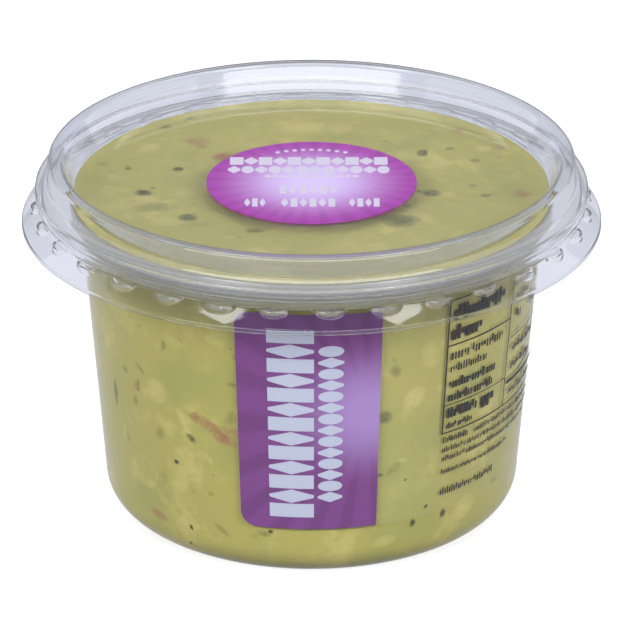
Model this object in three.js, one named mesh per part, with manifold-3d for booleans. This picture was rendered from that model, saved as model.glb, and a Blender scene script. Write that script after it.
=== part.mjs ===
// A clear deli tub of guacamole, shut with a clear press-on lid.
//
// Millimetres, +Z up. The tub stands on Z = 0 with its axis on Z, and the front of its label faces -Y.
// Angles round the tub are measured from the front, -Y, towards +X.

import * as THREE from 'three';
import { mergeVertices } from 'three/addons/utils/BufferGeometryUtils.js';
import Module from 'manifold-3d';

const wasm = await Module();
wasm.setup();

// Round parts share their steps round the axis, so that the flats of one lie along the flats of the next.
const ROUND_STEPS = 64;
const FILLET_STEPS = 2;
const CLEARANCE = 0.3;

// Tub
const TUB_WALL = 0.8;
const FOOT_LIFT = 1.0;
const FOOT_INNER_RADIUS = 31;
const BASE_RADIUS = 43.5;
const BASE_CORNER_RADIUS = 7.5;
const WALL_DRAFT = THREE.MathUtils.degToRad(4.55);
const STEP_HEIGHT = 63.4;
const STEP_RISE = 1.4;
const RIM_RADIUS = 50.7;
const RIM_HEIGHT = 70.4;
const RIM_FLANGE_RADIUS = 56.8;
const RIM_LIP_DEPTH = 1.4;

// Guacamole
const FILL_LEVEL = 69.35;
const SURFACE_SWELL = 0.3;
const SURFACE_RINGS = 7;

// Lid
const LID_SHEET = 0.7;
const PANEL_HEIGHT = RIM_HEIGHT + CLEARANCE + LID_SHEET;
const PANEL_RADIUS = 49.65;
const STACKING_RING_HEIGHT = 78.0;
const STACKING_RING_INNER = 52.6;
const STACKING_RING_OUTER = 55.25;
const STACKING_RING_FOOT = 55.8;
const STACKING_RING_FOOT_HEIGHT = 72.15;
const CATCH_RING_RADIUS = 58.1;
const CATCH_RING_TOP = 72.0;
const CATCH_RING_BOTTOM = 69.65;
const UNDERCUT_RADIUS = 57.4;
const UNDERCUT_HEIGHT = 67.85;
const SKIRT_RADIUS = 61.0;
const SKIRT_EDGE_HEIGHT = 64.5;
const SKIRT_LIP = 0.9;

// Lugs round the skirt
const LUG_COUNT = 32;
const LUG_FIRST_ANGLE = THREE.MathUtils.degToRad(3.66);
const LUG_HALF_WIDTH = 3.4;
const LUG_REACH = 2.3;
const LUG_TOP = 67.65;
const LUG_DEPTH = 2.6;
const LUG_ROUND_STEPS = 12;
const LUG_PROFILE_STEPS = 4;

// Labels
const LABEL_GAP = 0.1;
const LABEL_FILM = 0.25;
const LABEL_BOTTOM = 12.5;
const LABEL_TOP = 62.7;
const LABEL_START_ANGLE = THREE.MathUtils.degToRad(-18.9);
const LABEL_END_ANGLE = THREE.MathUtils.degToRad(113);
const LABEL_CORNER_RADIUS = 4;
const LABEL_CORNER_STEPS = 4;
const STICKER_RADIUS = 22.1;

// Materials

function material(colour, roughness, extra = {}) {
  return new THREE.MeshStandardMaterial({ color: colour, roughness, metalness: 0, ...extra });
}

const clearPlastic = { transparent: true, opacity: 0.35 };
const tubMaterial = material(0xe4e8ea, 0.08, clearPlastic);
const lidMaterial = material(0xe8ebf2, 0.06, clearPlastic);
const guacamoleMaterial = material(0xabac68, 0.5);
const stickerMaterial = material(0xa05cc0, 0.35);
const labelMaterial = material(0x7b4590, 0.3);

// Outlines. An outline is a list of THREE.Vector2, with x as the radius and y as the height.

// Turns corners, each [radius, height, fillet], into an outline with its corners rounded.
function roundedOutline(corners) {
  const points = corners.map(([radius, height]) => new THREE.Vector2(radius, height));
  return corners.flatMap(([, , fillet], i) => {
    const corner = points[i];
    if (!fillet) return [corner];
    const towards = (other) => other.clone().sub(corner).setLength(fillet).add(corner);
    const curve = new THREE.QuadraticBezierCurve(towards(points[i - 1]), corner, towards(points[i + 1]));
    return curve.getPoints(FILLET_STEPS);
  });
}

// Moves an open outline sideways: to its left with a positive distance, to its right with a negative one.
function offsetOutline(outline, distance) {
  const directions = outline.slice(1).map((point, i) => point.clone().sub(outline[i]).normalize());
  return outline.map((point, i) => {
    const before = directions[Math.max(i - 1, 0)];
    const after = directions[Math.min(i, directions.length - 1)];
    const along = before.clone().add(after).normalize();
    const miter = distance / along.dot(after);
    return new THREE.Vector2(Math.max(point.x - along.y * miter, 0), point.y + along.x * miter);
  });
}

// Revolves an outline round Z. The outline runs anticlockwise and starts and ends on the axis, or closes.
function revolve(outline) {
  return new THREE.LatheGeometry(outline, ROUND_STEPS).rotateX(Math.PI / 2);
}

// Revolves a formed sheet: one face is the given outline, the other lies the sheet's thickness to its left.
function revolveSheet(outline, thickness) {
  const section = [...outline, ...offsetOutline(outline, thickness).reverse()];
  const meetsAxis = outline[0].x === 0;
  return revolve(meetsAxis ? section : [...section, outline[0]]);
}

// Solids for the joins and cuts

function toSolid(geometry) {
  const bare = geometry.clone();
  bare.deleteAttribute('normal');
  bare.deleteAttribute('uv');
  const merged = mergeVertices(bare, 1e-4);
  const corners = merged.index.array;
  const triangles = [];
  for (let i = 0; i < corners.length; i += 3) {
    const [a, b, c] = corners.slice(i, i + 3);
    if (a !== b && b !== c && c !== a) triangles.push(a, b, c);
  }
  return new wasm.Manifold(new wasm.Mesh({
    numProp: 3,
    vertProperties: Float32Array.from(merged.attributes.position.array),
    triVerts: Uint32Array.from(triangles),
  }));
}

function toGeometry(solid) {
  const { vertProperties, triVerts } = solid.getMesh();
  const geometry = new THREE.BufferGeometry();
  geometry.setAttribute('position', new THREE.BufferAttribute(vertProperties, 3));
  geometry.setIndex(new THREE.BufferAttribute(triVerts, 1));
  return geometry;
}

// Tub

function wallRadius(height) {
  return BASE_RADIUS + height * Math.tan(WALL_DRAFT);
}

// The outer face of the tub, from the middle of its base up the wall and out to the end of the rim's lip.
function tubOutline() {
  const draftSin = Math.sin(WALL_DRAFT);
  const draftCos = Math.cos(WALL_DRAFT);
  const cornerCentre = BASE_RADIUS - (BASE_CORNER_RADIUS * (1 - draftSin)) / draftCos;
  const baseCorner = new THREE.EllipseCurve(
    cornerCentre, BASE_CORNER_RADIUS, BASE_CORNER_RADIUS, BASE_CORNER_RADIUS,
    -Math.PI / 2, -WALL_DRAFT,
  );
  const lipRadius = RIM_FLANGE_RADIUS - TUB_WALL;
  const flangeHeight = RIM_HEIGHT - TUB_WALL;
  return [
    new THREE.Vector2(0, FOOT_LIFT),
    new THREE.Vector2(FOOT_INNER_RADIUS - FOOT_LIFT, FOOT_LIFT),
    new THREE.Vector2(FOOT_INNER_RADIUS, 0),
    ...baseCorner.getPoints(5),
    new THREE.Vector2(wallRadius(STEP_HEIGHT), STEP_HEIGHT),
    new THREE.Vector2(RIM_RADIUS - 0.1, STEP_HEIGHT + STEP_RISE),
    new THREE.Vector2(RIM_RADIUS, flangeHeight),
    new THREE.Vector2(lipRadius, flangeHeight),
    new THREE.Vector2(lipRadius, RIM_HEIGHT - RIM_LIP_DEPTH),
  ];
}

function tub() {
  const mesh = new THREE.Mesh(revolveSheet(tubOutline(), TUB_WALL), tubMaterial);
  mesh.name = 'tub';
  return mesh;
}

// Guacamole: it fills the tub to just under the rim, and its top is spooned almost level.

function surfaceHeight(x, y) {
  const swell = Math.sin(x / 9 + 1) * Math.cos(y / 11) + 0.6 * Math.sin(y / 6 - x / 14);
  return FILL_LEVEL + SURFACE_SWELL * swell;
}

function guacamole() {
  const inside = offsetOutline(tubOutline(), TUB_WALL + CLEARANCE);
  const side = inside.filter((point) => point.y < FILL_LEVEL - 1);
  const topRadius = RIM_RADIUS - TUB_WALL - CLEARANCE;
  const top = [];
  for (let ring = 0; ring <= SURFACE_RINGS; ring += 1) {
    top.push(new THREE.Vector2(topRadius * (1 - ring / SURFACE_RINGS), FILL_LEVEL));
  }
  const geometry = revolve([...side, ...top]);
  const position = geometry.attributes.position;
  for (let i = 0; i < position.count; i += 1) {
    const onTop = position.getZ(i) > FILL_LEVEL - 1;
    if (onTop) position.setZ(i, surfaceHeight(position.getX(i), position.getY(i)));
  }
  const mesh = new THREE.Mesh(geometry, guacamoleMaterial);
  mesh.name = 'guacamole';
  return mesh;
}

// Lid: one formed sheet, with a recessed panel, a stacking ring, a catch ring and a flared skirt.

function lidOutline() {
  return roundedOutline([
    [0, PANEL_HEIGHT, 0],
    [PANEL_RADIUS, PANEL_HEIGHT, 1.0],
    [STACKING_RING_INNER, STACKING_RING_HEIGHT, 0.9],
    [STACKING_RING_OUTER, STACKING_RING_HEIGHT, 0.9],
    [STACKING_RING_FOOT, STACKING_RING_FOOT_HEIGHT, 0.5],
    [CATCH_RING_RADIUS, CATCH_RING_TOP, 0.7],
    [CATCH_RING_RADIUS, CATCH_RING_BOTTOM, 0],
    [UNDERCUT_RADIUS, UNDERCUT_HEIGHT, 0.4],
    [SKIRT_RADIUS, SKIRT_EDGE_HEIGHT, 0.3],
    [SKIRT_RADIUS, SKIRT_EDGE_HEIGHT - SKIRT_LIP, 0],
  ]);
}

// Everything inside the skirt's mid surface, which trims the back of each lug.
function skirtCore() {
  const inset = LID_SHEET / 2;
  return revolve([
    new THREE.Vector2(0, SKIRT_EDGE_HEIGHT - SKIRT_LIP),
    new THREE.Vector2(SKIRT_RADIUS - inset, SKIRT_EDGE_HEIGHT - SKIRT_LIP),
    new THREE.Vector2(SKIRT_RADIUS - inset, SKIRT_EDGE_HEIGHT - inset),
    new THREE.Vector2(UNDERCUT_RADIUS - inset, UNDERCUT_HEIGHT - inset),
    new THREE.Vector2(UNDERCUT_RADIUS - inset, UNDERCUT_HEIGHT + 1),
    new THREE.Vector2(0, UNDERCUT_HEIGHT + 1),
  ]);
}

// A half-moon shelf under the catch ring: the lower half of an ellipsoid, flat on top.
function lug(angle) {
  const quarter = new THREE.EllipseCurve(0, 0, 1, 1, -Math.PI / 2, 0).getPoints(LUG_PROFILE_STEPS);
  const outline = [...quarter, new THREE.Vector2(0, 0)];
  return new THREE.LatheGeometry(outline, LUG_ROUND_STEPS)
    .rotateX(Math.PI / 2)
    .scale(LUG_HALF_WIDTH, LUG_REACH, LUG_DEPTH)
    .translate(0, -UNDERCUT_RADIUS, LUG_TOP)
    .rotateZ(angle);
}

function lid() {
  const outline = lidOutline();
  const sheet = revolve([...offsetOutline(outline, -LID_SHEET), ...outline.reverse()]);
  const core = toSolid(skirtCore());
  let solid = toSolid(sheet);
  for (let i = 0; i < LUG_COUNT; i += 1) {
    const angle = LUG_FIRST_ANGLE + (i * 2 * Math.PI) / LUG_COUNT;
    solid = solid.add(toSolid(lug(angle)).subtract(core));
  }
  const mesh = new THREE.Mesh(toGeometry(solid), lidMaterial);
  mesh.name = 'lid';
  return mesh;
}

// Labels

function lidSticker() {
  const geometry = new THREE.CylinderGeometry(STICKER_RADIUS, STICKER_RADIUS, LABEL_FILM, ROUND_STEPS);
  const mesh = new THREE.Mesh(geometry, stickerMaterial);
  mesh.rotation.x = Math.PI / 2;
  mesh.position.z = PANEL_HEIGHT + LABEL_GAP + LABEL_FILM / 2;
  mesh.name = 'lid_sticker';
  return mesh;
}

// The label's shape as seen from straight in front of its middle, with its left and right ends foreshortened.
function labelFront() {
  const middle = (LABEL_START_ANGLE + LABEL_END_ANGLE) / 2;
  const halfSweep = (LABEL_END_ANGLE - LABEL_START_ANGLE) / 2;
  const cornerSweep = LABEL_CORNER_RADIUS / wallRadius(LABEL_BOTTOM);
  const corner = (side, centreHeight, from) => {
    const arc = new THREE.EllipseCurve(
      side * (halfSweep - cornerSweep), centreHeight, cornerSweep, LABEL_CORNER_RADIUS,
      from, from + Math.PI / 2,
    );
    return arc.getPoints(LABEL_CORNER_STEPS);
  };
  const low = LABEL_BOTTOM + LABEL_CORNER_RADIUS;
  const high = LABEL_TOP - LABEL_CORNER_RADIUS;
  const outline = [
    ...corner(1, low, -Math.PI / 2),
    ...corner(1, high, 0),
    ...corner(-1, high, Math.PI / 2),
    ...corner(-1, low, Math.PI),
  ];
  const shape = new THREE.Shape(outline.map(({ x: angle, y: height }) => (
    new THREE.Vector2(Math.sin(angle) * (wallRadius(height) + LABEL_GAP), height)
  )));
  return new THREE.ExtrudeGeometry(shape, { depth: SKIRT_RADIUS, bevelEnabled: false })
    .rotateX(Math.PI / 2)
    .rotateZ(middle);
}

// A film wrapped round the wall, with rounded corners.
function sideLabel() {
  const wall = [
    new THREE.Vector2(wallRadius(LABEL_TOP) + LABEL_GAP, LABEL_TOP),
    new THREE.Vector2(wallRadius(LABEL_BOTTOM) + LABEL_GAP, LABEL_BOTTOM),
  ];
  const band = revolveSheet(wall, LABEL_FILM);
  const film = toSolid(band).intersect(toSolid(labelFront()));
  const mesh = new THREE.Mesh(toGeometry(film), labelMaterial);
  mesh.name = 'side_label';
  return mesh;
}

const filledTub = new THREE.Group();
filledTub.add(tub(), guacamole(), lid(), lidSticker(), sideLabel());

export default filledTub;
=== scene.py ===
"""A shut clear deli tub of guacamole, with a sticker on its lid and a film label round its side.

Metres, +Z up. The tub stands on Z = 0 and the front of its label faces -Y.
Angles round the tub are measured from the front towards +X.
"""

import math
import random

import bmesh
import bpy
from bpy.props import FloatProperty, FloatVectorProperty, IntProperty, PointerProperty
from mathutils import Matrix, Vector, noise


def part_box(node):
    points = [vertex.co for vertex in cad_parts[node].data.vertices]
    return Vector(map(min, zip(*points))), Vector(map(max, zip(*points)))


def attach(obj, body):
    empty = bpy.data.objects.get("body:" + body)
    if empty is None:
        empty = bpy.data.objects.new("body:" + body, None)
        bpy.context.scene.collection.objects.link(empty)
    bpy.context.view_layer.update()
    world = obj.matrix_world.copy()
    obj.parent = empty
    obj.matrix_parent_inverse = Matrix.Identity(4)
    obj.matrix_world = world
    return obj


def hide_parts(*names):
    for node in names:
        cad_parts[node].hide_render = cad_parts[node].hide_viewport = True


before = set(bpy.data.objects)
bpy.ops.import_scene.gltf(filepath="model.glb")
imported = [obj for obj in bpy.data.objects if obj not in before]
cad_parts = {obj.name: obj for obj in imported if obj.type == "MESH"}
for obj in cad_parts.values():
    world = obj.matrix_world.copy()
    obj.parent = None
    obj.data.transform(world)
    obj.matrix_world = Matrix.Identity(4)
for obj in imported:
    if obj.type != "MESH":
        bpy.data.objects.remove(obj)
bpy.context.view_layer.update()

bl_info = {
    "name": "Deli tub of guacamole",
    "version": (1, 0, 0),
    "blender": (4, 5, 0),
    "location": "View3D > Sidebar > Deli Tub",
    "description": "Builds a clear deli tub of guacamole around its packed frame",
    "category": "Object",
}

TUB_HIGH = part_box("tub")[1]
LID_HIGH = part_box("lid")[1]
STICKER_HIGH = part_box("lid_sticker")[1]
LABEL_LOW, LABEL_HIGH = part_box("side_label")

MM = 0.001
LUG_COUNT = 32
LUG_FIRST_ANGLE = math.radians(3.66)
# How much light a flat face of clear sheet lets through to the food
CLEAR_SHADE = (0.96, 0.96, 0.96)
# Colour of the plastic's hazy layer: real haze, which on the lid's shoulder and lugs also paints their bright
# highlights
HAZE_AND_SHEEN_TONE = (0.74, 0.75, 0.78)
PLASTIC_IOR = 1.46
MASH_IOR = 1.36
FLOOR_GLOW = 0.62


# Sizes and colours

def length(name, description, default):
    return FloatProperty(name=name, description=description, default=default, unit="LENGTH")


def angle(name, description, degrees):
    return FloatProperty(name=name, description=description, default=math.radians(degrees), unit="ROTATION")


def colour(name, description, default):
    return FloatVectorProperty(name=name, description=description, default=default, subtype="COLOR", min=0, max=1)


class TubSizes(bpy.types.PropertyGroup):
    """The tub's outline."""

    wall: length("Wall", "Thickness of the tub's sheet", 0.5 * MM)
    foot_lift: length("Foot lift", "How far the middle of the base is pushed up", 1.0 * MM)
    foot_inner: length("Foot inner radius", "Where the base starts to rise", 31 * MM)
    base_radius: length("Base radius", "The wall's radius, carried down to the ground", 43.5 * MM)
    base_corner: length("Base corner", "Radius of the rounded corner at the foot", 7.5 * MM)
    draft: angle("Draft", "How far the wall leans outwards", 4.55)
    step_height: length("Step height", "Where the wall steps out under the rim", 63.4 * MM)
    step_rise: length("Step rise", "Height of the step", 1.4 * MM)
    rim_radius: length("Rim radius", "Outer radius of the wall above the step", 50.7 * MM)
    rim_height: length("Rim height", "Top of the rim's flange", TUB_HIGH.z)
    flange_radius: length("Flange radius", "Outer radius of the rim's flange", 56.8 * MM)
    lip_depth: length("Lip depth", "How far the flange turns down", 1.4 * MM)
    steps: IntProperty(name="Steps", description="Steps round the axis", default=320, min=64)
    tint: colour("Tint", "Tint of the plastic", (0.95, 0.955, 0.965))
    rim_shade: colour("Rim shade", "How much light each face of the rim lets through", (0.60, 0.60, 0.60))


class LidSizes(bpy.types.PropertyGroup):
    """The lid's outline and its lugs."""

    sheet: length("Sheet", "Thickness of the lid's sheet", 0.4 * MM)
    panel_height: length("Panel height", "Top of the sunk panel", 71.4 * MM)
    panel_radius: length("Panel radius", "Where the panel meets the recess wall", 49.65 * MM)
    ring_height: length("Stacking ring height", "Top of the stacking ring", LID_HIGH.z)
    ring_inner: length("Stacking ring inner radius", "Inner edge of the ring's top", 52.6 * MM)
    ring_outer: length("Stacking ring outer radius", "Outer edge of the ring's top", 55.25 * MM)
    ring_foot: length("Stacking ring foot", "Outer foot of the ring", 55.8 * MM)
    catch_radius: length("Catch ring radius", "Outer radius of the catch ring", 58.1 * MM)
    catch_height: length("Catch ring height", "Top of the catch ring", 72.0 * MM)
    undercut_radius: length("Undercut radius", "Radius of the groove under the catch ring", 57.4 * MM)
    undercut_height: length("Undercut height", "Height of the groove", 67.85 * MM)
    skirt_radius: length("Skirt radius", "Outer radius of the flared skirt", LID_HIGH.x)
    skirt_edge: length("Skirt edge height", "Where the skirt turns down", 64.5 * MM)
    skirt_lip: length("Skirt lip", "Depth of the skirt's turned lip", 0.9 * MM)
    lug_half_width: length("Lug half width", "Half of a lug's width", 3.2 * MM)
    lug_length: length("Lug length", "How far down the skirt a lug reaches", 2.1 * MM)
    lug_rise: length("Lug rise", "Height of a lug's dome over the skirt", 1.4 * MM)
    steps: IntProperty(name="Steps", description="Steps round the axis", default=896, min=64)
    tint: colour("Tint", "Tint of the plastic", (0.915, 0.925, 0.965))
    rim_shade: colour("Rim shade", "How much light each outer face lets through", (0.66, 0.66, 0.66))


class MashSizes(bpy.types.PropertyGroup):
    """The guacamole and what is mixed into it."""

    level: length("Fill level", "Height of the top", 69.35 * MM)
    into_wall: length("Into the wall", "How far the mash reaches into the tub's sheet", 0.15 * MM)
    swell: length("Swell", "Height of the slow waves of the top", 0.3 * MM)
    relief: length("Relief", "Height of the fine lumps of the top", 0.16 * MM)
    creep: length("Creep", "How far the mash creeps up the wall at its edge", 0.8 * MM)
    flesh: colour("Flesh", "Main colour of the mash", (0.360, 0.330, 0.086))
    pale_flesh: colour("Pale flesh", "Riper, yellower patches", (0.455, 0.405, 0.128))
    green_flesh: colour("Green flesh", "Patches from near the skin", (0.300, 0.302, 0.080))
    herb: colour("Herb", "Chopped herb leaf", (0.075, 0.085, 0.025))
    pepper: colour("Pepper", "Ground black pepper and dark skin", (0.030, 0.027, 0.012))
    chilli: colour("Chilli", "Red chilli and tomato", (0.270, 0.105, 0.062))
    onion: colour("Onion", "Chopped onion and firm flesh", (0.500, 0.440, 0.150))


class LabelSizes(bpy.types.PropertyGroup):
    """The sticker on the lid and the film round the side."""

    film: length("Film", "Thickness of the label's film", 0.25 * MM)
    gap: length("Gap", "Gap between the wall and the film", 0.1 * MM)
    ink: length("Ink", "Thickness of a printed layer", 0.02 * MM)
    bottom: length("Bottom", "Lower edge of the film", LABEL_LOW.z)
    top: length("Top", "Upper edge of the film", LABEL_HIGH.z)
    corner: length("Corner", "Radius of the film's corners", 3.2 * MM)
    start: angle("Start", "Left edge of the film", -18.9)
    end: angle("End", "Right edge of the film", 113)
    colour_end: angle("Colour end", "Right edge of the purple part", 17.3)
    glow_angle: angle("Glow angle", "Where round the tub the purple part glows", 14.5)
    glow_height: length("Glow height", "How high the purple part glows", 39.5 * MM)
    glow_reach: length("Glow reach", "How far the glow spreads over the purple part", 18 * MM)
    sticker_radius: length("Sticker radius", "Radius of the lid's sticker", STICKER_HIGH.x)
    purple: colour("Purple", "Main colour of the side label", (0.156, 0.050, 0.190))
    lilac: colour("Lilac", "Bright part of the side label", (0.310, 0.200, 0.450))
    rim_purple: colour("Rim purple", "Rim of the sticker", (0.275, 0.036, 0.300))
    pale_lilac: colour("Pale lilac", "Middle of the sticker", (0.500, 0.410, 0.700))
    pale_print: colour("Pale print", "Pale shapes on the side label", (0.405, 0.435, 0.550))
    sticker_pale: colour("Sticker's pale print", "Pale shapes on the sticker", (0.470, 0.445, 0.565))
    dark_print: colour("Dark print", "Dark printed lines", (0.020, 0.019, 0.018))


class StageSizes(bpy.types.PropertyGroup):
    """The camera and the studio."""

    camera_distance: length("Camera distance", "From the camera to the point it looks at", 1.1262)
    camera_height: length("Camera target height", "Height of the point the camera looks at", 41.5 * MM)
    camera_side: length("Camera side", "How far right of the axis the camera stands", 0.3 * MM)
    camera_elevation: angle("Camera elevation", "How far the camera looks down", 23.97)
    lens: FloatProperty(name="Lens", description="Focal length", default=304.85, unit="CAMERA")
    floor: colour("Floor", "Colour of the floor", (0.50, 0.50, 0.50))
    floor_through_plastic: colour("Floor through plastic", "Floor as seen through the plastic", (0.79, 0.81, 0.885))
    floor_mirrored: colour("Floor mirrored", "Floor as the plastic mirrors it", (0.60, 0.60, 0.645))
    room: colour("Room", "The studio's walls as they light the food", (0.12, 0.123, 0.132))
    room_mirrored: colour("Mirrored room", "The studio's walls as the plastic shows them", (0.20, 0.205, 0.22))


def sizes_of(part):
    """The settings of one part, by its short name."""
    return getattr(bpy.context.scene, f"deli_{part}")


# Outlines: lists of (radius, height)

def fillet(before, corner, after, size, count):
    """Points of a rounded corner that starts and ends size away from it."""
    corner = Vector(corner)
    start = corner + (Vector(before) - corner).normalized() * size
    end = corner + (Vector(after) - corner).normalized() * size
    points = []
    for i in range(count + 1):
        t = i / count
        points.append(tuple(start * (1 - t) ** 2 + corner * 2 * t * (1 - t) + end * t**2))
    return points


def rounded(corners, count=4):
    """An outline from corners, each (radius, height, fillet)."""
    outline = []
    for i, (radius, height, size) in enumerate(corners):
        if size:
            outline += fillet(corners[i - 1][:2], (radius, height), corners[i + 1][:2], size, count)
        else:
            outline.append((radius, height))
    return outline


def offset(outline, distance):
    """The outline moved sideways: to its left where distance is positive."""
    points = [Vector(p) for p in outline]
    steps = [(b - a).normalized() for a, b in zip(points, points[1:])]
    moved = []
    for i, point in enumerate(points):
        before, after = steps[max(i - 1, 0)], steps[min(i, len(steps) - 1)]
        along = (before + after).normalized()
        miter = distance / along.dot(after)
        moved.append((max(point.x - along.y * miter, 0), point.y + along.x * miter))
    return moved


def subdivided(outline, longest):
    """The outline with its long stretches cut into steps no longer than the given length."""
    points = [outline[0]]
    for a, b in zip(outline, outline[1:]):
        count = max(1, math.ceil(math.dist(a, b) / longest))
        points += [tuple(Vector(a).lerp(Vector(b), i / count)) for i in range(1, count + 1)]
    return points


def wall_radius(height):
    tub = sizes_of("tub")
    return tub.base_radius + height * math.tan(tub.draft)


def tub_outline(corner_steps=10):
    """The tub's outer face, from the middle of its base to the end of the rim's lip."""
    tub = sizes_of("tub")
    corner = tub.base_corner
    centre = tub.base_radius - corner * (1 - math.sin(tub.draft)) / math.cos(tub.draft)
    base = []
    for i in range(corner_steps + 1):
        turn = math.radians(-90) + (math.radians(90) - tub.draft) * i / corner_steps
        base.append((centre + corner * math.cos(turn), corner + corner * math.sin(turn)))
    lip_radius = tub.flange_radius - tub.wall
    flange = tub.rim_height - tub.wall
    step = tub.step_height
    upper = rounded([
        (*base[-1], 0),
        (wall_radius(step), step, 0.5 * MM),
        (tub.rim_radius - 0.1 * MM, step + tub.step_rise, 0.5 * MM),
        (tub.rim_radius, flange, 0.5 * MM),
        (lip_radius, flange, 0.3 * MM),
        (lip_radius, tub.rim_height - tub.lip_depth, 0),
    ])
    foot = rounded([
        (0, tub.foot_lift, 0),
        (tub.foot_inner - tub.foot_lift, tub.foot_lift, 0.4 * MM),
        (tub.foot_inner, 0, 0.4 * MM),
        (*base[0], 0),
    ], 2)
    return foot[:-1] + base + upper[1:]


def lid_outline():
    """The lid's upper face, from the middle of the panel to the end of the skirt's lip."""
    lid = sizes_of("lid")
    return rounded([
        (0, lid.panel_height, 0),
        (lid.panel_radius, lid.panel_height, 1.0 * MM),
        (lid.ring_inner, lid.ring_height, 0.9 * MM),
        (lid.ring_outer, lid.ring_height, 0.9 * MM),
        (lid.ring_foot, lid.catch_height + 0.15 * MM, 1.5 * MM),
        (lid.catch_radius, lid.catch_height, 0.7 * MM),
        (lid.catch_radius, lid.undercut_height + 1.8 * MM, 0.5 * MM),
        (lid.undercut_radius, lid.undercut_height, 0.35 * MM),
        (lid.skirt_radius, lid.skirt_edge, 0.3 * MM),
        (lid.skirt_radius, lid.skirt_edge - lid.skirt_lip, 0),
    ])


# Meshes

def finish_piece(bm, name, material, replaces=None):
    """Turns a bmesh into a piece that rides on the part, smooth between its sharp edges."""
    mesh = bpy.data.meshes.new(name)
    bm.to_mesh(mesh)
    bm.free()
    mesh.materials.append(material)
    mesh.shade_smooth()
    mesh.set_sharp_from_angle(angle=math.radians(40))
    piece = bpy.data.objects.new(name, mesh)
    bpy.context.scene.collection.objects.link(piece)
    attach(piece, "root")
    if replaces:
        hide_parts(replaces)


def spin_section(section, steps, first_angle=0.0, shape=None):
    """Spins an outline about Z into a closed skin.

    One sector is spun and then doubled until it closes. The shape function moves the points of that sector,
    whose middle is at the first angle.
    """
    bm = bmesh.new()
    sector = 2 * math.pi / LUG_COUNT
    points = [bm.verts.new(place(first_angle - sector / 2, radius, height)) for radius, height in section]
    edges = [bm.edges.new(pair) for pair in zip(points, points[1:])]
    bmesh.ops.spin(
        bm, geom=points + edges, cent=(0, 0, 0), axis=(0, 0, 1), angle=sector, steps=steps // LUG_COUNT,
        use_merge=False,
    )
    for vert in bm.verts:
        if shape:
            shape(vert)
    turn = sector
    while turn < 2 * math.pi - sector / 2:
        copy = bmesh.ops.duplicate(bm, geom=bm.verts[:] + bm.edges[:] + bm.faces[:])
        copied = [item for item in copy["geom"] if isinstance(item, bmesh.types.BMVert)]
        bmesh.ops.rotate(bm, verts=copied, cent=(0, 0, 0), matrix=Matrix.Rotation(turn, 3, "Z"))
        turn *= 2
    bmesh.ops.remove_doubles(bm, verts=bm.verts, dist=1e-6)
    bmesh.ops.dissolve_degenerate(bm, edges=bm.edges, dist=1e-7)
    bmesh.ops.recalc_face_normals(bm, faces=bm.faces)
    return bm


def front_angle(co):
    """Angle round the tub, from the front towards +X."""
    return math.atan2(co.x, -co.y)


def place(angle_round, radius, height):
    return Vector((radius * math.sin(angle_round), -radius * math.cos(angle_round), height))


# Shader graphs

class Socket:
    """A shader value that takes part in Python arithmetic and adds the Math nodes for it."""

    def __init__(self, graph, link):
        self.graph = graph
        self.link = link

    def math(self, operation, *values):
        return self.graph.node("ShaderNodeMath", {"operation": operation}, values)

    def __add__(self, other):
        return self.math("ADD", self, other)

    def __radd__(self, other):
        return self.math("ADD", other, self)

    def __sub__(self, other):
        return self.math("SUBTRACT", self, other)

    def __rsub__(self, other):
        return self.math("SUBTRACT", other, self)

    def __mul__(self, other):
        return self.math("MULTIPLY", self, other)

    def __rmul__(self, other):
        return self.math("MULTIPLY", other, self)

    def __truediv__(self, other):
        return self.math("DIVIDE", self, other)

    def sin(self):
        return self.math("SINE", self)

    def sqrt(self):
        return self.math("SQRT", self)

    def angle_to(self, across):
        """The angle whose tangent is this value over the other."""
        return self.math("ARCTAN2", self, across)

    def clamped(self):
        return self.graph.node("ShaderNodeClamp", {}, (self,))

    def ramped(self, low, high, out_low=0.0, out_high=1.0):
        """Goes smoothly from out_low to out_high as the value goes from low to high."""
        settings = {"interpolation_type": "SMOOTHSTEP"}
        return self.graph.node("ShaderNodeMapRange", settings, (self, low, high, out_low, out_high))


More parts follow.
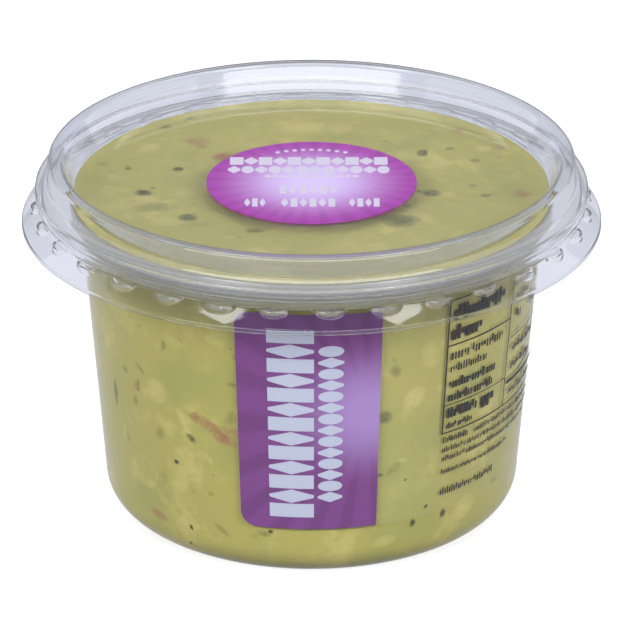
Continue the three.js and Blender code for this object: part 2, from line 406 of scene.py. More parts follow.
class Graph:
    """The node tree of one material or world."""

    def __init__(self, name, blocks="materials"):
        self.block = getattr(bpy.data, blocks).new(name)
        self.block.use_nodes = True
        self.tree = self.block.node_tree
        self.tree.nodes.clear()

    def node(self, kind, settings=None, values=(), output=0, **named):
        """Adds a node, sets it, feeds its sockets by place or by name, and returns one of its outputs."""
        node = self.tree.nodes.new(kind)
        for key, value in (settings or {}).items():
            setattr(node, key, value)
        sockets = list(zip(node.inputs, values))
        sockets += [(node.inputs[key.replace("_", " ")], value) for key, value in named.items()]
        for socket, value in sockets:
            if isinstance(value, Socket):
                self.tree.links.new(value.link, socket)
            elif value is not None:
                socket.default_value = value
        return Socket(self, node.outputs[output])

    def position(self):
        return self.node("ShaderNodeTexCoord", output="Object")

    def axes(self):
        """The three coordinates as separate values."""
        split = self.node("ShaderNodeSeparateXYZ", values=(self.position(),)).link.node
        return [Socket(self, output) for output in split.outputs]

    def noise(self, size, detail=2.0, roughness=0.5, **settings):
        """Noise from 0 to 1 with features of the given size in metres."""
        return self.node(
            "ShaderNodeTexNoise", settings, Vector=self.position(), Scale=1 / size, Detail=detail,
            Roughness=roughness,
        )

    def mix(self, factor, low, high):
        """A mix of two colours."""
        node = self.tree.nodes.new("ShaderNodeMix")
        node.data_type = "RGBA"
        for socket, value in ((node.inputs[0], factor), (node.inputs[6], low), (node.inputs[7], high)):
            if isinstance(value, Socket):
                self.tree.links.new(value.link, socket)
            else:
                socket.default_value = value if isinstance(value, float) else (*value, 1.0)
        return Socket(self, node.outputs[2])

    def bump(self, height, strength, distance):
        return self.node("ShaderNodeBump", Height=height, Strength=strength, Distance=distance, output="Normal")

    def mix_shaders(self, factor, low, high):
        return self.node("ShaderNodeMixShader", values=(factor, low, high))

    def principled(self, **named):
        return self.node("ShaderNodeBsdfPrincipled", **named)

    def finish(self, shader, output="ShaderNodeOutputMaterial"):
        self.tree.links.new(shader.link, self.tree.nodes.new(output).inputs["Surface"])
        return self.block


# Materials

def band(value, low, high, soft):
    """1 between two values and 0 outside them, with soft ends."""
    return value.ramped(low - soft, low) * value.ramped(high, high + soft, 1.0, 0.0)


def clear_plastic(name, tint, roughness, rim_radius, rim_shade, haze_and_sheen):
    """Thin clear sheet that bends what is seen through it and lets the studio's light through to the food.

    Beyond the rim radius, where the sheet is folded, each of its faces lets less light through. The frost function
    gives how hazy the sheet is at a radius and a height: partly real haze, and on the lid partly a painted highlight.
    """
    graph = Graph(name)
    waves = graph.noise(9 * MM, detail=1.0) + 0.35 * graph.noise(2.2 * MM, detail=1.0)
    ripple = graph.bump(waves, 0.05, 0.4 * MM)
    x, y, z = graph.axes()
    radius = (x * x + y * y).sqrt()
    clear = graph.principled(
        Base_Color=(*tint, 1.0), Roughness=roughness, IOR=PLASTIC_IOR, Transmission_Weight=1.0, Normal=ripple,
    )
    haze_and_sheen_layer = graph.principled(Base_Color=(*HAZE_AND_SHEEN_TONE, 1.0), Roughness=0.35, IOR=PLASTIC_IOR, Normal=ripple)
    # The hazy layer is partly real haze and partly a painted highlight on the lid's shoulder and lugs
    sheet = graph.mix_shaders(haze_and_sheen(radius, z), clear, haze_and_sheen_layer)
    open_shade = graph.node("ShaderNodeBsdfTransparent", Color=(*CLEAR_SHADE, 1.0))
    folded_shade = graph.node("ShaderNodeBsdfTransparent", Color=(*rim_shade, 1.0))
    rim = radius.ramped(rim_radius - 0.4 * MM, rim_radius + 0.4 * MM)
    through = graph.mix_shaders(rim, open_shade, folded_shade)
    path = graph.node("ShaderNodeLightPath", output="Is Shadow Ray").link.node
    shadow, diffuse = (Socket(graph, path.outputs[key]) for key in ("Is Shadow Ray", "Is Diffuse Ray"))
    return graph.finish(graph.mix_shaders((shadow + diffuse).clamped(), sheet, through))


def mash_colour(graph):
    """The uneven colour of the mash, the same on the mash and at the soft edges of its flecks."""
    sizes = sizes_of("mash")
    patches = graph.noise(11 * MM, detail=3.0, roughness=0.55)
    mottle = graph.noise(2.6 * MM, detail=3.0, roughness=0.6)
    green = graph.noise(17 * MM, detail=2.0, noise_dimensions="4D")
    tone = graph.mix((patches + 0.35 * (mottle - 0.5)).ramped(0.50, 0.72), sizes.flesh, sizes.pale_flesh)
    return graph.mix(green.ramped(0.50, 0.68, 0.0, 0.8), tone, sizes.green_flesh)


def mash_material():
    """Uneven mash, moist and lumpy on top and pressed flat against the wall."""
    graph = Graph("guacamole_mash")
    height = graph.axes()[2]
    on_top = height.ramped(sizes_of("mash").level - 1.5 * MM, sizes_of("mash").level - 0.8 * MM)
    fine = graph.noise(0.9 * MM, detail=2.0)
    pores = graph.noise(3.5 * MM, detail=3.0)
    return graph.finish(graph.principled(
        Base_Color=mash_colour(graph), Roughness=fine.ramped(0.3, 0.7, 0.45, 0.62), IOR=MASH_IOR,
        Normal=graph.bump((pores + 0.4 * fine) * on_top, 0.3, 0.3 * MM),
    ))


def fleck_material(name, tone, roughness):
    """A fleck that fades into the mash towards its edge."""
    graph = Graph(name)
    cover = graph.node("ShaderNodeAttribute", {"attribute_name": "cover"}, output="Fac")
    ragged = cover * graph.noise(0.9 * MM, detail=2.0).ramped(0.25, 0.6, 0.55, 1.15)
    shade = graph.mix(ragged.clamped(), mash_colour(graph), tone)
    return graph.finish(graph.principled(Base_Color=shade, Roughness=roughness, IOR=MASH_IOR))


# The tub and the lid

class DELI_OT_tub(bpy.types.Operator):
    """Builds the clear tub."""

    bl_idname = "deli.tub"
    bl_label = "Tub"

    def execute(self, context):
        tub = sizes_of("tub")
        outline = tub_outline()
        section = outline + offset(outline, tub.wall)[::-1]
        bm = spin_section(section, tub.steps)
        flange = tub.rim_radius + 0.8 * MM
        material = clear_plastic(
            "tub_plastic", tub.tint, 0.04, flange, tub.rim_shade,
            lambda radius, height: radius.ramped(flange - 0.4 * MM, flange + 0.4 * MM, 0.0, 0.12),
        )
        finish_piece(bm, "tub_shell", material, replaces="tub")
        return {"FINISHED"}


def lug_height(across, down):
    """How far a half-moon lug lifts the skirt, down the skirt from its ledge and across from the lug's middle.

    It is a dome whose upper part is cut off level.
    """
    lid = sizes_of("lid")
    slope = Vector((lid.skirt_radius - lid.undercut_radius, lid.undercut_height - lid.skirt_edge))
    down -= 0.15 * MM
    dome = 1 - (across / lid.lug_half_width) ** 2 - (down / lid.lug_length) ** 2
    return max(0.0, min(down * slope.y / slope.x, lid.lug_rise * dome))


class DELI_OT_lid(bpy.types.Operator):
    """Builds the clear lid with its rings, flared skirt and hollow lugs."""

    bl_idname = "deli.lid"
    bl_label = "Lid"

    def execute(self, context):
        lid = sizes_of("lid")
        outline = lid_outline()
        top = Vector((lid.undercut_radius, lid.undercut_height))
        edge = Vector((lid.skirt_radius, lid.skirt_edge))
        along = (edge - top).normalized()
        outwards = Vector((-along.y, along.x))
        skirt = next(i for i, p in enumerate(outline) if p[1] < lid.undercut_height - 0.2 * MM)
        below_lugs = tuple(top + along * (lid.lug_length + 0.4 * MM))
        lugs = subdivided([outline[skirt], below_lugs], 0.19 * MM)
        outline = outline[:skirt] + lugs + outline[skirt + 1:]
        section = outline + offset(outline, -lid.sheet)[::-1]

        def raise_lug(vert):
            radius = math.hypot(vert.co.x, vert.co.y)
            from_top = Vector((radius, vert.co.z)) - top
            down, aside = from_top.dot(along), from_top.dot(outwards)
            if down < 0 or abs(aside) > 2 * lid.sheet:
                return
            turn = front_angle(vert.co)
            lift = lug_height((turn - LUG_FIRST_ANGLE) * radius, down)
            vert.co = place(turn, radius + outwards.x * lift, vert.co.z + outwards.y * lift)

        bm = spin_section(section, lid.steps, LUG_FIRST_ANGLE, raise_lug)
        shaded = lid.ring_outer - 0.3 * MM

        def haze_and_sheen(radius, height):
            """Hazy where the sheet was stretched most, on the shoulder over the catch ring and on the lugs; this haze
            also paints the bright highlights seen there, a painted highlight.
            """
            across = band(radius, lid.ring_foot - 1.4 * MM, lid.catch_radius, 0.2 * MM)
            shoulder = across * band(height, lid.catch_height - 0.6 * MM, lid.catch_height + 2.2 * MM, 0.4 * MM)
            off_skirt = (radius - top.x) * outwards.x + (height - top.y) * outwards.y
            lug = band(off_skirt, 0.3 * MM, lid.lug_rise, 0.2 * MM)
            return 0.075 * shoulder + 0.08 * lug

        material = clear_plastic("lid_plastic", lid.tint, 0.05, shaded, lid.rim_shade, haze_and_sheen)
        finish_piece(bm, "lid_shell", material, replaces="lid")
        return {"FINISHED"}


# The guacamole

TOP_RINGS = 62


def mash_side_radius(height):
    """The mash's radius against the wall, at heights above the base corner."""
    tub, mash = sizes_of("tub"), sizes_of("mash")
    side = wall_radius(height) if height < tub.step_height else tub.rim_radius
    return side - tub.wall + mash.into_wall


def surface_height(x, y):
    """Height of the uneven top."""
    mash = sizes_of("mash")
    swell = math.sin(x / (9 * MM) + 1) * math.cos(y / (11 * MM)) + 0.6 * math.sin(y / (6 * MM) - x / (14 * MM))
    lumps = noise.fractal(Vector((x, y, 0)) / (5 * MM), 0.8, 2.1, 3)
    edge = max(0.0, 1 - (sizes_of("tub").rim_radius - math.hypot(x, y)) / (3.5 * MM))
    return mash.level + mash.swell * swell * (1 - edge) + mash.relief * lumps + mash.creep * edge**2


class DELI_OT_mash(bpy.types.Operator):
    """Builds the guacamole that fills the tub and reaches just into its wall."""

    bl_idname = "deli.mash"
    bl_label = "Guacamole"

    def execute(self, context):
        tub, mash = sizes_of("tub"), sizes_of("mash")
        inside = offset(tub_outline(), tub.wall - mash.into_wall)
        side = [p for p in inside if p[1] < mash.level - 1 * MM and p[0] < tub.rim_radius]
        side = subdivided(side, 6 * MM)
        top_radius = tub.rim_radius - tub.wall + mash.into_wall
        top = [(top_radius * (1 - i / TOP_RINGS), mash.level) for i in range(TOP_RINGS + 1)]
        bm = spin_section(side + top, tub.steps)
        for vert in bm.verts:
            if vert.co.z == mash.level:
                vert.co.z = surface_height(vert.co.x, vert.co.y)
        finish_piece(bm, "guacamole_mash", mash_material(), replaces="guacamole")
        return {"FINISHED"}


# Each chosen fleck is (angle in degrees, height, length, width, tilt in degrees, strength) on the side, and
# (x, y, length, width, tilt in degrees, strength) on the top, in millimetres. Tilts are from level or from X.
SIDE_FLECKS = {
    "herb": [
        (-63, 32.7, 7.5, 2.0, 86, 0.75), (-51, 38, 3.6, 1.5, 80, 0.6), (-49.5, 42.5, 4.0, 1.2, -35, 0.5),
        (-40, 50.4, 3.0, 1.8, 80, 0.45), (-43.5, 29, 4.0, 2.6, 70, 0.35), (-58, 24, 3.0, 1.4, -60, 0.35),
        (-33, 30.3, 3.4, 1.9, -35, 0.85), (-20.5, 45, 3.0, 1.4, -10, 0.5), (-21, 37, 4.5, 3.0, 60, 0.4),
        (-25, 10, 5.0, 1.6, -38, 0.4), (21.5, 48, 3.0, 3.4, 20, 0.5), (22, 25, 5.0, 2.0, 40, 0.35),
        (-13, 10.6, 3.6, 1.6, -10, 0.6), (-44, 18, 6.0, 3.0, 60, 0.2),
    ],
    "pepper": [
        (-38.4, 23.4, 1.6, 1.3, 0, 1.0), (-34.7, 8.7, 1.6, 1.0, -60, 1.0), (-35.4, 4.7, 1.1, 0.9, 0, 0.9),
        (19, 37.5, 3.4, 3.8, 60, 0.65), (28.4, 11, 2.2, 1.6, 80, 0.9), (38.2, 11.3, 2.4, 1.7, 80, 1.0),
        (32.3, 14.2, 1.3, 1.0, 40, 0.9), (25.5, 21.8, 1.2, 0.9, 30, 0.7), (18.2, 24, 1.8, 1.2, 0, 0.6),
        (-11, 11.2, 1.6, 1.2, 10, 0.9), (-52.7, 34.1, 2.8, 2.0, 85, 0.4),
    ],
    "chilli": [
        (-26, 33.7, 14.0, 3.4, -30, 0.65), (-31.2, 35.6, 4.4, 3.0, -20, 0.7), (-23.6, 32.2, 6.4, 3.8, -28, 0.8),
        (-21.5, 33.6, 5.4, 3.6, -10, 0.45), (-46.4, 8.8, 6.4, 2.4, -10, 0.6), (-52, 37.6, 1.6, 2.6, 0, 0.4),
        (40, 24.6, 3.6, 2.2, 10, 0.35),
    ],
    "onion": [
        (-44, 38.9, 7.0, 6.0, 30, 0.7), (27, 41, 6.4, 5.0, 30, 0.75), (46, 10.6, 7.4, 5.4, 20, 0.8),
        (-35, 33.5, 7.0, 2.2, -65, 0.7), (31, 50, 4.6, 7.0, 10, 0.5), (-37, 18.6, 5.0, 3.0, 0, 0.5),
        (-49, 15.5, 3.4, 2.6, 30, 0.6), (-37, 9.4, 3.0, 2.0, 0, 0.5), (-28, 26.4, 4.0, 1.4, -50, 0.5),
        (24.5, 26.6, 2.6, 1.4, 0, 0.6), (20, 8, 6.0, 3.0, 10, 0.5),
    ],
}
TOP_FLECKS = {
    "herb": [
        (18.5, -16.5, 9.0, 8.0, 0, 0.85), (-25.7, -14.1, 4.6, 4.4, 0, 1.0), (-11.7, -21.5, 4.6, 3.0, 0, 0.8),
        (-31.5, 35, 2.8, 2.6, 30, 0.7), (-32.6, -9, 10.0, 6.0, 10, 0.5), (25, -0.5, 5.0, 4.4, 0, 0.9),
        (34, 3.7, 2.2, 2.0, 0, 0.6), (29.7, 22.7, 2.4, 1.8, 0, 0.7), (34.8, 16.5, 3.0, 2.4, 0, 0.6),
        (-44.5, 15, 3.0, 2.2, 0, 0.4), (-24, -18, 9.0, 3.6, 0, 0.2), (20, -8, 2.2, 1.8, 0, 0.5),
    ],
    "pepper": [
        (-35.4, -1.2, 4.2, 4.0, 10, 1.0), (-28.4, 12.6, 2.8, 2.6, 0, 1.0), (23.8, 20.4, 3.2, 4.6, 0, 0.8),
        (-39, 12.6, 2.0, 1.8, 0, 0.7), (36.6, -1.8, 2.8, 2.4, 0, 0.6), (-26.4, 39.9, 2.0, 2.0, 0, 0.7),
        (-4.7, 45.2, 1.8, 1.8, 0, 0.5), (22.8, 0.4, 1.6, 1.4, 0, 0.9), (-33.5, 1.5, 1.4, 1.4, 0, 0.7),
    ],
    "chilli": [
        (-19, 19.3, 5.8, 4.2, 10, 0.85), (40.5, 23.4, 3.0, 3.0, 0, 0.6), (44.2, -1.8, 4.0, 6.0, 20, 0.55),
        (32, 33, 3.0, 3.4, 0, 0.5), (-24.6, 27.2, 6.4, 5.6, 0, 0.5), (-23.4, 24.4, 2.8, 2.6, 0, 0.6),
    ],
    "onion": [
        (36.9, 22.7, 4.0, 3.6, 0, 0.7), (-30, -17, 8.0, 4.0, 0, 0.4), (6, 36, 7.0, 6.0, 20, 0.4),
        (-40, -9, 5.0, 4.0, 0, 0.4), (14, -30, 6.0, 5.0, 0, 0.4),
    ],
}
# How many more of each kind lie on the side and on the top, their shortest and longest length in millimetres,
# and their greatest strength.
SCATTERED = {
    "herb": (70, 26, 0.8, 3.6, 0.5),
    "pepper": (60, 34, 0.3, 1.2, 0.8),
    "chilli": (14, 8, 0.8, 3.4, 0.5),
    "onion": (50, 24, 2.5, 7.5, 0.38),
}
FLECK_ROUGHNESS = {"herb": 0.5, "pepper": 0.45, "chilli": 0.4, "onion": 0.45}
FLECK_LIFT = 0.03 * MM
FLECK_HALF_THICKNESS = 0.02 * MM


def side_surface(turn, height):
    """The mash's side near a point, as a function of two lengths along it and a height off it."""
    def at(along, up, off):
        level = height + up
        radius = mash_side_radius(level) + off
        return place(turn + along / radius, radius, level)
    return at


def top_surface(x0, y0):
    """The mash's top near a point, as a function of two lengths along it and a height off it."""
    def at(along, up, off):
        x, y = x0 + along, y0 + up
        return Vector((x, y, surface_height(x, y) + FLECK_LIFT + off))
    return at


def add_fleck(bm, surface, size, width, tilt, strength):
    """Adds a very flat lens that follows the surface; its cover fades from the strength to nothing at its edge."""
    lens = bmesh.new()
    cover = lens.verts.layers.float.new("cover")
    bmesh.ops.create_icosphere(lens, subdivisions=3, radius=1.0)
    turn = Matrix.Rotation(tilt, 2)
    bend = random.uniform(-0.3, 0.3)
    for vert in lens.verts:
        x, y, z = vert.co
        vert[cover] = strength * max(0.0, 1 - (x * x + y * y)) ** 0.75
        flat = turn @ Vector((x * size / 2, (y + bend * x * x) * width / 2))
        vert.co = surface(flat.x, flat.y, z * FLECK_HALF_THICKNESS)
    mesh = bpy.data.meshes.new("fleck")
    lens.to_mesh(mesh)
    lens.free()
    bm.from_mesh(mesh)
    bpy.data.meshes.remove(mesh)


def scattered_flecks(kind):
    """Seeded extra flecks: (surface, length, width, tilt, strength)."""
    tub, mash = sizes_of("tub"), sizes_of("mash")
    side_count, top_count, shortest, longest, strongest = SCATTERED[kind]
    low, high = tub.base_corner + 1 * MM, mash.level - 4 * MM
    for i in range(side_count + top_count):
        if i < side_count:
            surface = side_surface(random.uniform(-math.pi, math.pi), random.uniform(low, high))
        else:
            radius = 0.93 * (tub.rim_radius - tub.wall) * math.sqrt(random.random())
            spot = place(random.uniform(-math.pi, math.pi), radius, 0)
            surface = top_surface(spot.x, spot.y)
        size = (shortest + (longest - shortest) * random.random() ** 2) * MM
        yield surface, size, size * random.uniform(0.4, 0.9), random.uniform(0, 3), random.uniform(0.3, 1) * strongest


class DELI_OT_flecks(bpy.types.Operator):
    """Builds the flecks of herb, pepper, chilli and onion in the mash, one piece for each kind."""

    bl_idname = "deli.flecks"
    bl_label = "Flecks"

    def execute(self, context):
        for kind, roughness in FLECK_ROUGHNESS.items():
            random.seed(f"flecks of {kind}")
            bm = bmesh.new()
            for degrees, height, size, width, tilt, strength in SIDE_FLECKS[kind]:
                surface = side_surface(math.radians(degrees), height * MM)
                add_fleck(bm, surface, size * MM, width * MM, math.radians(tilt), strength)
            for x, y, size, width, tilt, strength in TOP_FLECKS[kind]:
                surface = top_surface(x * MM, y * MM)
                add_fleck(bm, surface, size * MM, width * MM, math.radians(tilt), strength)
            for fleck in scattered_flecks(kind):
                add_fleck(bm, *fleck)
            material = fleck_material(f"{kind}_flecks", getattr(sizes_of("mash"), kind), roughness)
            finish_piece(bm, f"{kind}_flecks", material)
        return {"FINISHED"}


# The labels

def wall_surface(along, up, off):
    """A place at an angle round the tub's wall, a height and a distance off it."""
    return place(along, wall_radius(up) + off, up)


def panel_surface(along, up, off):
    """A place on the lid's panel: to the right, to the back and a distance off it."""
    return Vector((along, up, sizes_of("lid").panel_height + off))


def add_patch(bm, surface, stations, low, high, inner, outer):
    """Adds a thin closed patch that follows a surface, between two distances off it.

    The stations are its steps along the surface, and low and high give its two edges at each of them.
    """
    count = len(stations) - 1
    made = bmesh.ops.create_grid(bm, x_segments=count, y_segments=1, size=0.5)["verts"]
    faces = list({face for vert in made for face in vert.link_faces})
    for vert in made:
        along = stations[round((vert.co.x + 0.5) * count)]
        vert.co = (along, high(along) if vert.co.y > 0 else low(along), 0)
    thick = bmesh.ops.extrude_face_region(bm, geom=faces)["geom"]
    for vert in made:
        vert.co = surface(vert.co.x, vert.co.y, outer)
    for vert in (item for item in thick if isinstance(item, bmesh.types.BMVert)):
        vert.co = surface(vert.co.x, vert.co.y, inner)


# How tall a printed shape is across its width, from -1 to 1
MOTIFS = {
    "bar": lambda share: 1.0,
    "lozenge": lambda share: 1 - 0.8 * abs(share),
    "dot": lambda share: math.sqrt(1 - share * share),
}


def add_motif(bm, surface, kind, centre, half_width, middle, half_height, inner, outer, steps=16):
    """Adds one printed shape, in steps that follow the surface and the shape's edge."""

    def half(along):
        share = max(-1.0, min(1.0, (along - centre) / half_width))
        return half_height * MOTIFS[kind](share)

    stations = [centre + half_width * (2 * i / steps - 1) for i in range(steps + 1)]
    add_patch(bm, surface, stations, lambda a: middle - half(a), lambda a: middle + half(a), inner, outer)


def add_small_print(bm, surface, start, end, low, height, stroke, weight, inner, outer):
    """Adds a row of upright strokes in groups, in the place of a line of small print.

    The stroke is the pitch of its strokes, and the weight is the share of it that they fill.
    """
    along = start
    while along < end - stroke:
        for _ in range(random.randint(5, 16)):
            if along > end - stroke:
                break
            foot = low + height * random.choice((0, 0, 0, 0.3))
            top = low + height * random.choice((0.7, 0.7, 1.0))
            add_motif(
                bm, surface, "bar", along + stroke / 2, weight * stroke * random.uniform(0.4, 0.6), (foot + top) / 2,
                (top - foot) / 2, inner, outer, steps=1,
            )
            along += stroke
        along += 0.7 * stroke


def closed_patches(bm):
    """Closes the pointed ends of patches and turns their faces outwards."""
    bmesh.ops.remove_doubles(bm, verts=bm.verts, dist=1e-7)
    bmesh.ops.dissolve_degenerate(bm, edges=bm.edges, dist=1e-7)
    bmesh.ops.recalc_face_normals(bm, faces=bm.faces)
    return bm


def ink_material(name, tone, roughness, alpha=1.0):
    graph = Graph(name)
    grain = graph.noise(0.7 * MM, detail=1.0).ramped(0.3, 0.7, roughness, roughness + 0.06)
    return graph.finish(graph.principled(Base_Color=(*tone, 1.0), Roughness=grain, Alpha=alpha))


def sunburst_material(name, coordinates, reach, glow, rim, rays):
    """A print that glows in its middle and darkens towards its rim along rays.

    The coordinates function gives the lengths across and up from the glow's middle.
    """
    graph = Graph(name)
    across, up = coordinates(graph)
    radius = (across * across + up * up).sqrt()
    spokes = (up.angle_to(across) * rays + 2.5 * (up.angle_to(across) * 3.0).sin()).sin()
    shade = graph.mix((radius / reach).ramped(0.1, 1.0), glow, rim)
    ray = spokes.ramped(-0.2, 0.8) * (radius / reach).ramped(0.4, 1.1, 0.0, 0.32)
    deep = tuple(0.45 * part for part in rim)
    shade = graph.mix(ray, shade, deep)
    grain = graph.noise(0.7 * MM, detail=1.0).ramped(0.3, 0.7, 0.3, 0.36)
    return graph.finish(graph.principled(Base_Color=shade, Roughness=grain))


# The facts printed in dark ink, in the place of the small print: each row is (start and end in degrees round
# the tub, height of its foot, height of its blocks, weight), in millimetres.
FACTS_ROWS = (
    (37, 57.5, 56.8, 3.6, 0.74), (36.8, 48.5, 52.4, 3.4, 0.78), (36.8, 57, 47.8, 2.4, 0.52),
    (36.8, 50.5, 44.9, 1.9, 0.52), (36.7, 54.5, 41.2, 2.2, 0.74), (36.7, 54.5, 38.1, 2.1, 0.74),
    (36.7, 47.5, 34.2, 2.4, 0.74), (49, 54.5, 33.4, 4.0, 0.74), (36.7, 46.5, 31.7, 1.5, 0.66),
    (35.9, 45, 28.5, 1.4, 0.62), (47, 80, 28.5, 1.3, 0.52), (35.9, 80, 26.3, 1.3, 0.52),
    (35.9, 76, 24.2, 1.3, 0.52), (36, 64, 21.2, 1.2, 0.54), (36, 58, 16.2, 1.7, 0.54),
    (62, 70, 54.6, 1.5, 0.62), (62.5, 66, 50.2, 2.3, 0.54), (72, 79, 50.2, 2.3, 0.54), (62, 78, 42.6, 1.8, 0.72),
    (62, 76, 38.4, 1.8, 0.72), (62, 80, 32.6, 1.6, 0.54),
)
# Its rules: (start and end in degrees, lower and upper edge)
FACTS_RULES = (
    (35.4, 35.9, 30.8, 61.8), (59.2, 59.6, 30.8, 61.8), (35.4, 59.6, 61.6, 61.9), (35.4, 59.6, 51.1, 51.4),
    (35.4, 59.6, 37.3, 37.5), (35.4, 84, 30.7, 31.0), (60.8, 84, 35.4, 36.2), (60.8, 84, 46.2, 46.4),
    (60.8, 84, 58.4, 58.7),
)
# Columns of pale shapes on the purple part: (start and end in degrees, lower and upper end, how many, shapes)
SIDE_COLUMNS = (
    (-11.0, 0.6, 15.2, 59.4, 13, ("bar", "lozenge")),
    (1.6, 8.0, 18.8, 55.6, 14, ("lozenge", "dot")),
)
# Bands of pale shapes on the sticker: (left and right end, front and back edge, how many, shapes, share of each
# shape's pitch that it fills)
STICKER_BANDS = (
    (-17.4, 16.2, 9.2, 13.4, 11, ("bar", "lozenge"), 0.94),
    (-17.8, 16.6, 4.5, 8.5, 12, ("lozenge", "dot"), 0.94),
    (-10.0, 10.0, 2.2, 3.6, 13, ("dot",), 0.94),
    (-7.0, 5.6, -6.6, -2.4, 6, ("bar", "lozenge"), 0.72),
    (-14.2, -9.4, -13.6, -9.2, 3, ("lozenge", "bar"), 0.72),
    (-6.6, 5.2, -13.6, -9.2, 6, ("lozenge", "bar"), 0.72),
    (7.6, 14.4, -13.6, -9.2, 4, ("lozenge", "bar"), 0.72),
)
STICKER_DOTS = 9
SIDE_RAYS, STICKER_RAYS = 22.0, 31.0
STATION_STEP = math.radians(1.2)
CORNER_STEPS = 6


class DELI_OT_side_label(bpy.types.Operator):
    """Builds the film round the side, its purple part and its printed shapes."""

    bl_idname = "deli.side_label"
    bl_label = "Side label"

    def execute(self, context):
        label = sizes_of("label")
        face = label.gap + label.film
        sweep = label.corner / wall_radius(label.bottom)

        def cut(along):
            """How much of the film's height its rounded corners take away at an angle."""
            inset = min(along - label.start, label.end - along, sweep)
            return label.corner * (1 - math.sqrt(max(0.0, 1 - (1 - inset / sweep) ** 2)))

        def low(along):
            return label.bottom + cut(along)

        def high(along):
            return label.top - cut(along)

        def stations(start, end):
            """Steps along the film, close together in the rounded corner that it starts with."""
            turns = [math.radians(90 * i / CORNER_STEPS) for i in range(CORNER_STEPS + 1)]
            corner = [start + sweep * (1 - math.cos(turn)) for turn in turns]
            count = math.ceil((end - corner[-1]) / STATION_STEP)
            return corner + [corner[-1] + (end - corner[-1]) * i / count for i in range(1, count + 1)]

        bm = bmesh.new()
        along = stations(label.start, (label.start + label.end) / 2)
        mirrored = [label.start + label.end - a for a in reversed(along[:-1])]
        add_patch(bm, wall_surface, along + mirrored, low, high, label.gap, face)
        film = ink_material("label_film", (0.9, 0.9, 0.9), 0.15, alpha=0.015)
        finish_piece(closed_patches(bm), "label_film", film, replaces="side_label")

        def coordinates(graph):
            x, y, z = graph.axes()
            turn = x.angle_to(0.0 - y)
            return (turn - label.glow_angle) * wall_radius(label.glow_height), z - label.glow_height

        bm = bmesh.new()
        add_patch(
            bm, wall_surface, stations(label.start, label.colour_end), low, high, face - label.ink, face + label.ink
        )
        purple = sunburst_material(
            "purple_print", coordinates, label.glow_reach, label.lilac, label.purple, SIDE_RAYS,
        )
        finish_piece(closed_patches(bm), "purple_print", purple)

        bm = bmesh.new()
        ink = face + label.ink, face + 2 * label.ink
        for start, end, bottom, top, count, kinds in SIDE_COLUMNS:
            pitch = (top - bottom) * MM / count
            for i in range(count):
                add_motif(
                    bm, wall_surface, kinds[i % 2], math.radians((start + end) / 2), math.radians((end - start) / 2),
                    bottom * MM + (i + 0.5) * pitch, 0.47 * pitch, *ink,
                )
        pale = ink_material("pale_side_print", label.pale_print, 0.3)
        finish_piece(closed_patches(bm), "pale_side_print", pale)

        random.seed("facts")
        bm = bmesh.new()
        for start, end, foot, height, weight in FACTS_ROWS:
            stroke = 0.36 * height * MM / wall_radius(foot * MM)
            add_small_print(
                bm, wall_surface, math.radians(start), math.radians(end), foot * MM, height * MM, stroke, weight,
                *ink,
            )
        for start, end, bottom, top in FACTS_RULES:
            start, end = math.radians(start), math.radians(end)
            count = math.ceil((end - start) / STATION_STEP)
            add_patch(
                bm, wall_surface, [start + (end - start) * i / count for i in range(count + 1)],
                lambda a, edge=bottom: edge * MM, lambda a, edge=top: edge * MM, *ink,
            )
        dark = ink_material("dark_print", label.dark_print, 0.4)
        finish_piece(closed_patches(bm), "dark_print", dark)
        return {"FINISHED"}


class DELI_OT_sticker(bpy.types.Operator):
    """Builds the round sticker on the lid and its printed shapes."""

    bl_idname = "deli.sticker"
    bl_label = "Lid sticker"

    def execute(self, context):
        label, lid = sizes_of("label"), sizes_of("lid")
        low, high = lid.panel_height + 0.01 * MM, STICKER_HIGH.z
        bm = bmesh.new()
        bmesh.ops.create_cone(
            bm, cap_ends=True, segments=180, radius1=label.sticker_radius, radius2=label.sticker_radius,
            depth=high - low, matrix=Matrix.Translation((0, 0, (low + high) / 2)),
        )
        glow = sunburst_material(
            "sticker_print", lambda graph: graph.axes()[:2], label.sticker_radius, label.pale_lilac, label.rim_purple,
            STICKER_RAYS,
        )
        finish_piece(bm, "sticker_disc", glow, replaces="lid_sticker")

        bm = bmesh.new()
        ink = high - lid.panel_height, high - lid.panel_height + label.ink
        for left, right, front, back, count, kinds, fill in STICKER_BANDS:
            pitch = (right - left) * MM / count
            for i in range(count):
                add_motif(
                    bm, panel_surface, kinds[i % len(kinds)], left * MM + (i + 0.5) * pitch, fill * pitch / 2,
                    (front + back) / 2 * MM, (back - front) / 2 * MM, *ink,
                )
        for i in range(STICKER_DOTS):
            x = 1.8 * (i - (STICKER_DOTS - 1) / 2) * MM
            y = 17.6 * MM - x * x / (36 * MM)
            add_motif(bm, panel_surface, "dot", x, 0.5 * MM, y, 0.6 * MM, *ink)
        pale = ink_material("pale_sticker_print", label.sticker_pale, 0.3)
        finish_piece(closed_patches(bm), "pale_sticker_print", pale)
        return {"FINISHED"}


# The stage

# Cards that only the plastic mirrors, and lights that only the food receives
CARD = {"diffuse": False}
HIDDEN = {"glossy": False, "transmission": False}
# Lights in the middle: (name, place, width, height, watts, kinds of rays that see it or don't)
MIDDLE_LIGHTS = (
    ("front_card", (0, -1.4, 0.7), 4.0, 0.9, 46, CARD),
    ("back_card", (0, 1.5, 0.8), 3.4, 1.4, 1.5, CARD),
    ("top_softbox", (0, 0.38, 1.2), 1.1, 1.1, 6.5, {}),
)
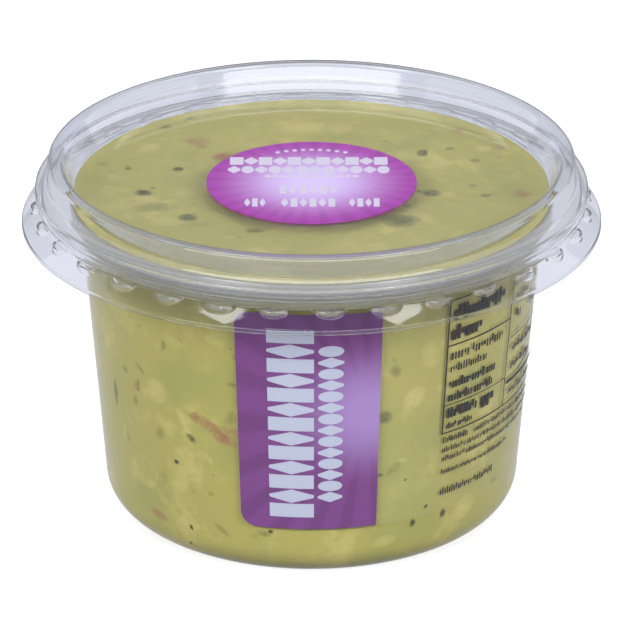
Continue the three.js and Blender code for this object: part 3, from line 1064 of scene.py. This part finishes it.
# Lights on both sides: (name, degrees round from the front, distance from the axis, height over the floor, width,
# height, watts, kinds of rays that see it or don't)
SIDE_LIGHTS = (
    ("card", 95, 1.5, 0.7, 2.0, 1.0, 5, CARD),
    ("softbox", 60, 0.525, 1.26, 0.32, 0.36, 2.1, CARD),
    ("key", 38, 1.1, 0.66, 0.5, 0.5, 10.5, HIDDEN),
    ("fill", 62, 1.3, 0.5, 0.8, 0.8, 9.4, HIDDEN),
    ("back_fill", 145, 1.3, 0.5, 0.8, 0.8, 7, HIDDEN),
)


def soft_light(name, place_at, width, height, watts, seen_by):
    """A soft rectangular light aimed at the tub."""
    data = bpy.data.lights.new(name, "AREA")
    data.shape = "RECTANGLE"
    data.size, data.size_y, data.energy = width, height, watts
    lamp = bpy.data.objects.new(name, data)
    lamp.location = place_at
    lamp.rotation_euler = (Vector((0, 0, 0.05)) - Vector(place_at)).to_track_quat("-Z", "Y").to_euler()
    for ray, seen in seen_by.items():
        setattr(lamp, f"visible_{ray}", seen)
    bpy.context.scene.collection.objects.link(lamp)


class DELI_OT_stage(bpy.types.Operator):
    """Sets up the floor, the studio's light and the camera."""

    bl_idname = "deli.stage"
    bl_label = "Stage"

    def execute(self, context):
        sizes, scene = sizes_of("stage"), context.scene
        bm = bmesh.new()
        bmesh.ops.create_grid(bm, x_segments=4, y_segments=4, size=5.0)
        mesh = bpy.data.meshes.new("studio_floor")
        bm.to_mesh(mesh)
        bm.free()
        graph = Graph("studio_floor")
        lit = graph.principled(
            Base_Color=(*sizes.floor, 1.0), Roughness=0.9, Emission_Color=(1, 1, 1, 1),
            Emission_Strength=FLOOR_GLOW,
        )
        direct = graph.node("ShaderNodeLightPath", output="Is Camera Ray")
        refracted = graph.node("ShaderNodeLightPath", output="Is Transmission Ray")
        indirect = graph.mix(refracted, sizes.floor_mirrored, sizes.floor_through_plastic)
        glow = graph.node("ShaderNodeEmission", Color=indirect)
        mesh.materials.append(graph.finish(graph.mix_shaders(direct, glow, lit)))
        floor = bpy.data.objects.new("studio_floor", mesh)
        scene.collection.objects.link(floor)
        floor.visible_diffuse = False

        target = Vector((sizes.camera_side, 0, sizes.camera_height))
        tilt = sizes.camera_elevation
        back = Vector((0, -math.cos(tilt), math.sin(tilt)))
        data = bpy.data.cameras.new("photo_camera")
        data.lens, data.sensor_width = sizes.lens, 36
        data.clip_start, data.clip_end = 0.05, 20
        camera = bpy.data.objects.new("photo_camera", data)
        camera.location = target + back * sizes.camera_distance
        camera.rotation_euler = (-back).to_track_quat("-Z", "Y").to_euler()
        scene.collection.objects.link(camera)
        scene.camera = camera

        for light in MIDDLE_LIGHTS:
            soft_light(*light)
        for side, turn in (("left", -1), ("right", 1)):
            for name, degrees, distance, over_floor, *light in SIDE_LIGHTS:
                soft_light(f"{side}_{name}", place(turn * math.radians(degrees), distance, over_floor), *light)

        world = Graph("studio", "worlds")
        diffuse = world.node("ShaderNodeLightPath", output="Is Diffuse Ray")
        light = world.node("ShaderNodeBackground", Color=world.mix(diffuse, sizes.room_mirrored, sizes.room))
        scene.world = world.finish(light, "ShaderNodeOutputWorld")
        scene.view_settings.view_transform = "Standard"
        return {"FINISHED"}


OPERATORS = (
    DELI_OT_tub, DELI_OT_mash, DELI_OT_flecks, DELI_OT_lid, DELI_OT_side_label, DELI_OT_sticker, DELI_OT_stage,
)
SETTINGS = {
    "deli_tub": TubSizes,
    "deli_lid": LidSizes,
    "deli_mash": MashSizes,
    "deli_label": LabelSizes,
    "deli_stage": StageSizes,
}


class DELI_PT_panel(bpy.types.Panel):
    """Lists the pieces of the filled tub."""

    bl_idname = "DELI_PT_panel"
    bl_label = "Deli Tub"
    bl_space_type = "VIEW_3D"
    bl_region_type = "UI"
    bl_category = "Deli Tub"

    def draw(self, context):
        for operator in OPERATORS:
            self.layout.operator(operator.bl_idname)
        for name, group in SETTINGS.items():
            box = self.layout.box()
            for key in group.__annotations__:
                box.prop(getattr(context.scene, name), key)


def register():
    for group in SETTINGS.values():
        bpy.utils.register_class(group)
    for name, group in SETTINGS.items():
        setattr(bpy.types.Scene, name, PointerProperty(type=group))
    for cls in (*OPERATORS, DELI_PT_panel):
        bpy.utils.register_class(cls)


def unregister():
    for cls in (DELI_PT_panel, *reversed(OPERATORS)):
        bpy.utils.unregister_class(cls)
    for name in SETTINGS:
        delattr(bpy.types.Scene, name)
    for group in SETTINGS.values():
        bpy.utils.unregister_class(group)


def main():
    register()
    for operator in OPERATORS:
        family, name = operator.bl_idname.split(".")
        getattr(getattr(bpy.ops, family), name)()


if __name__ == "__main__":
    main()
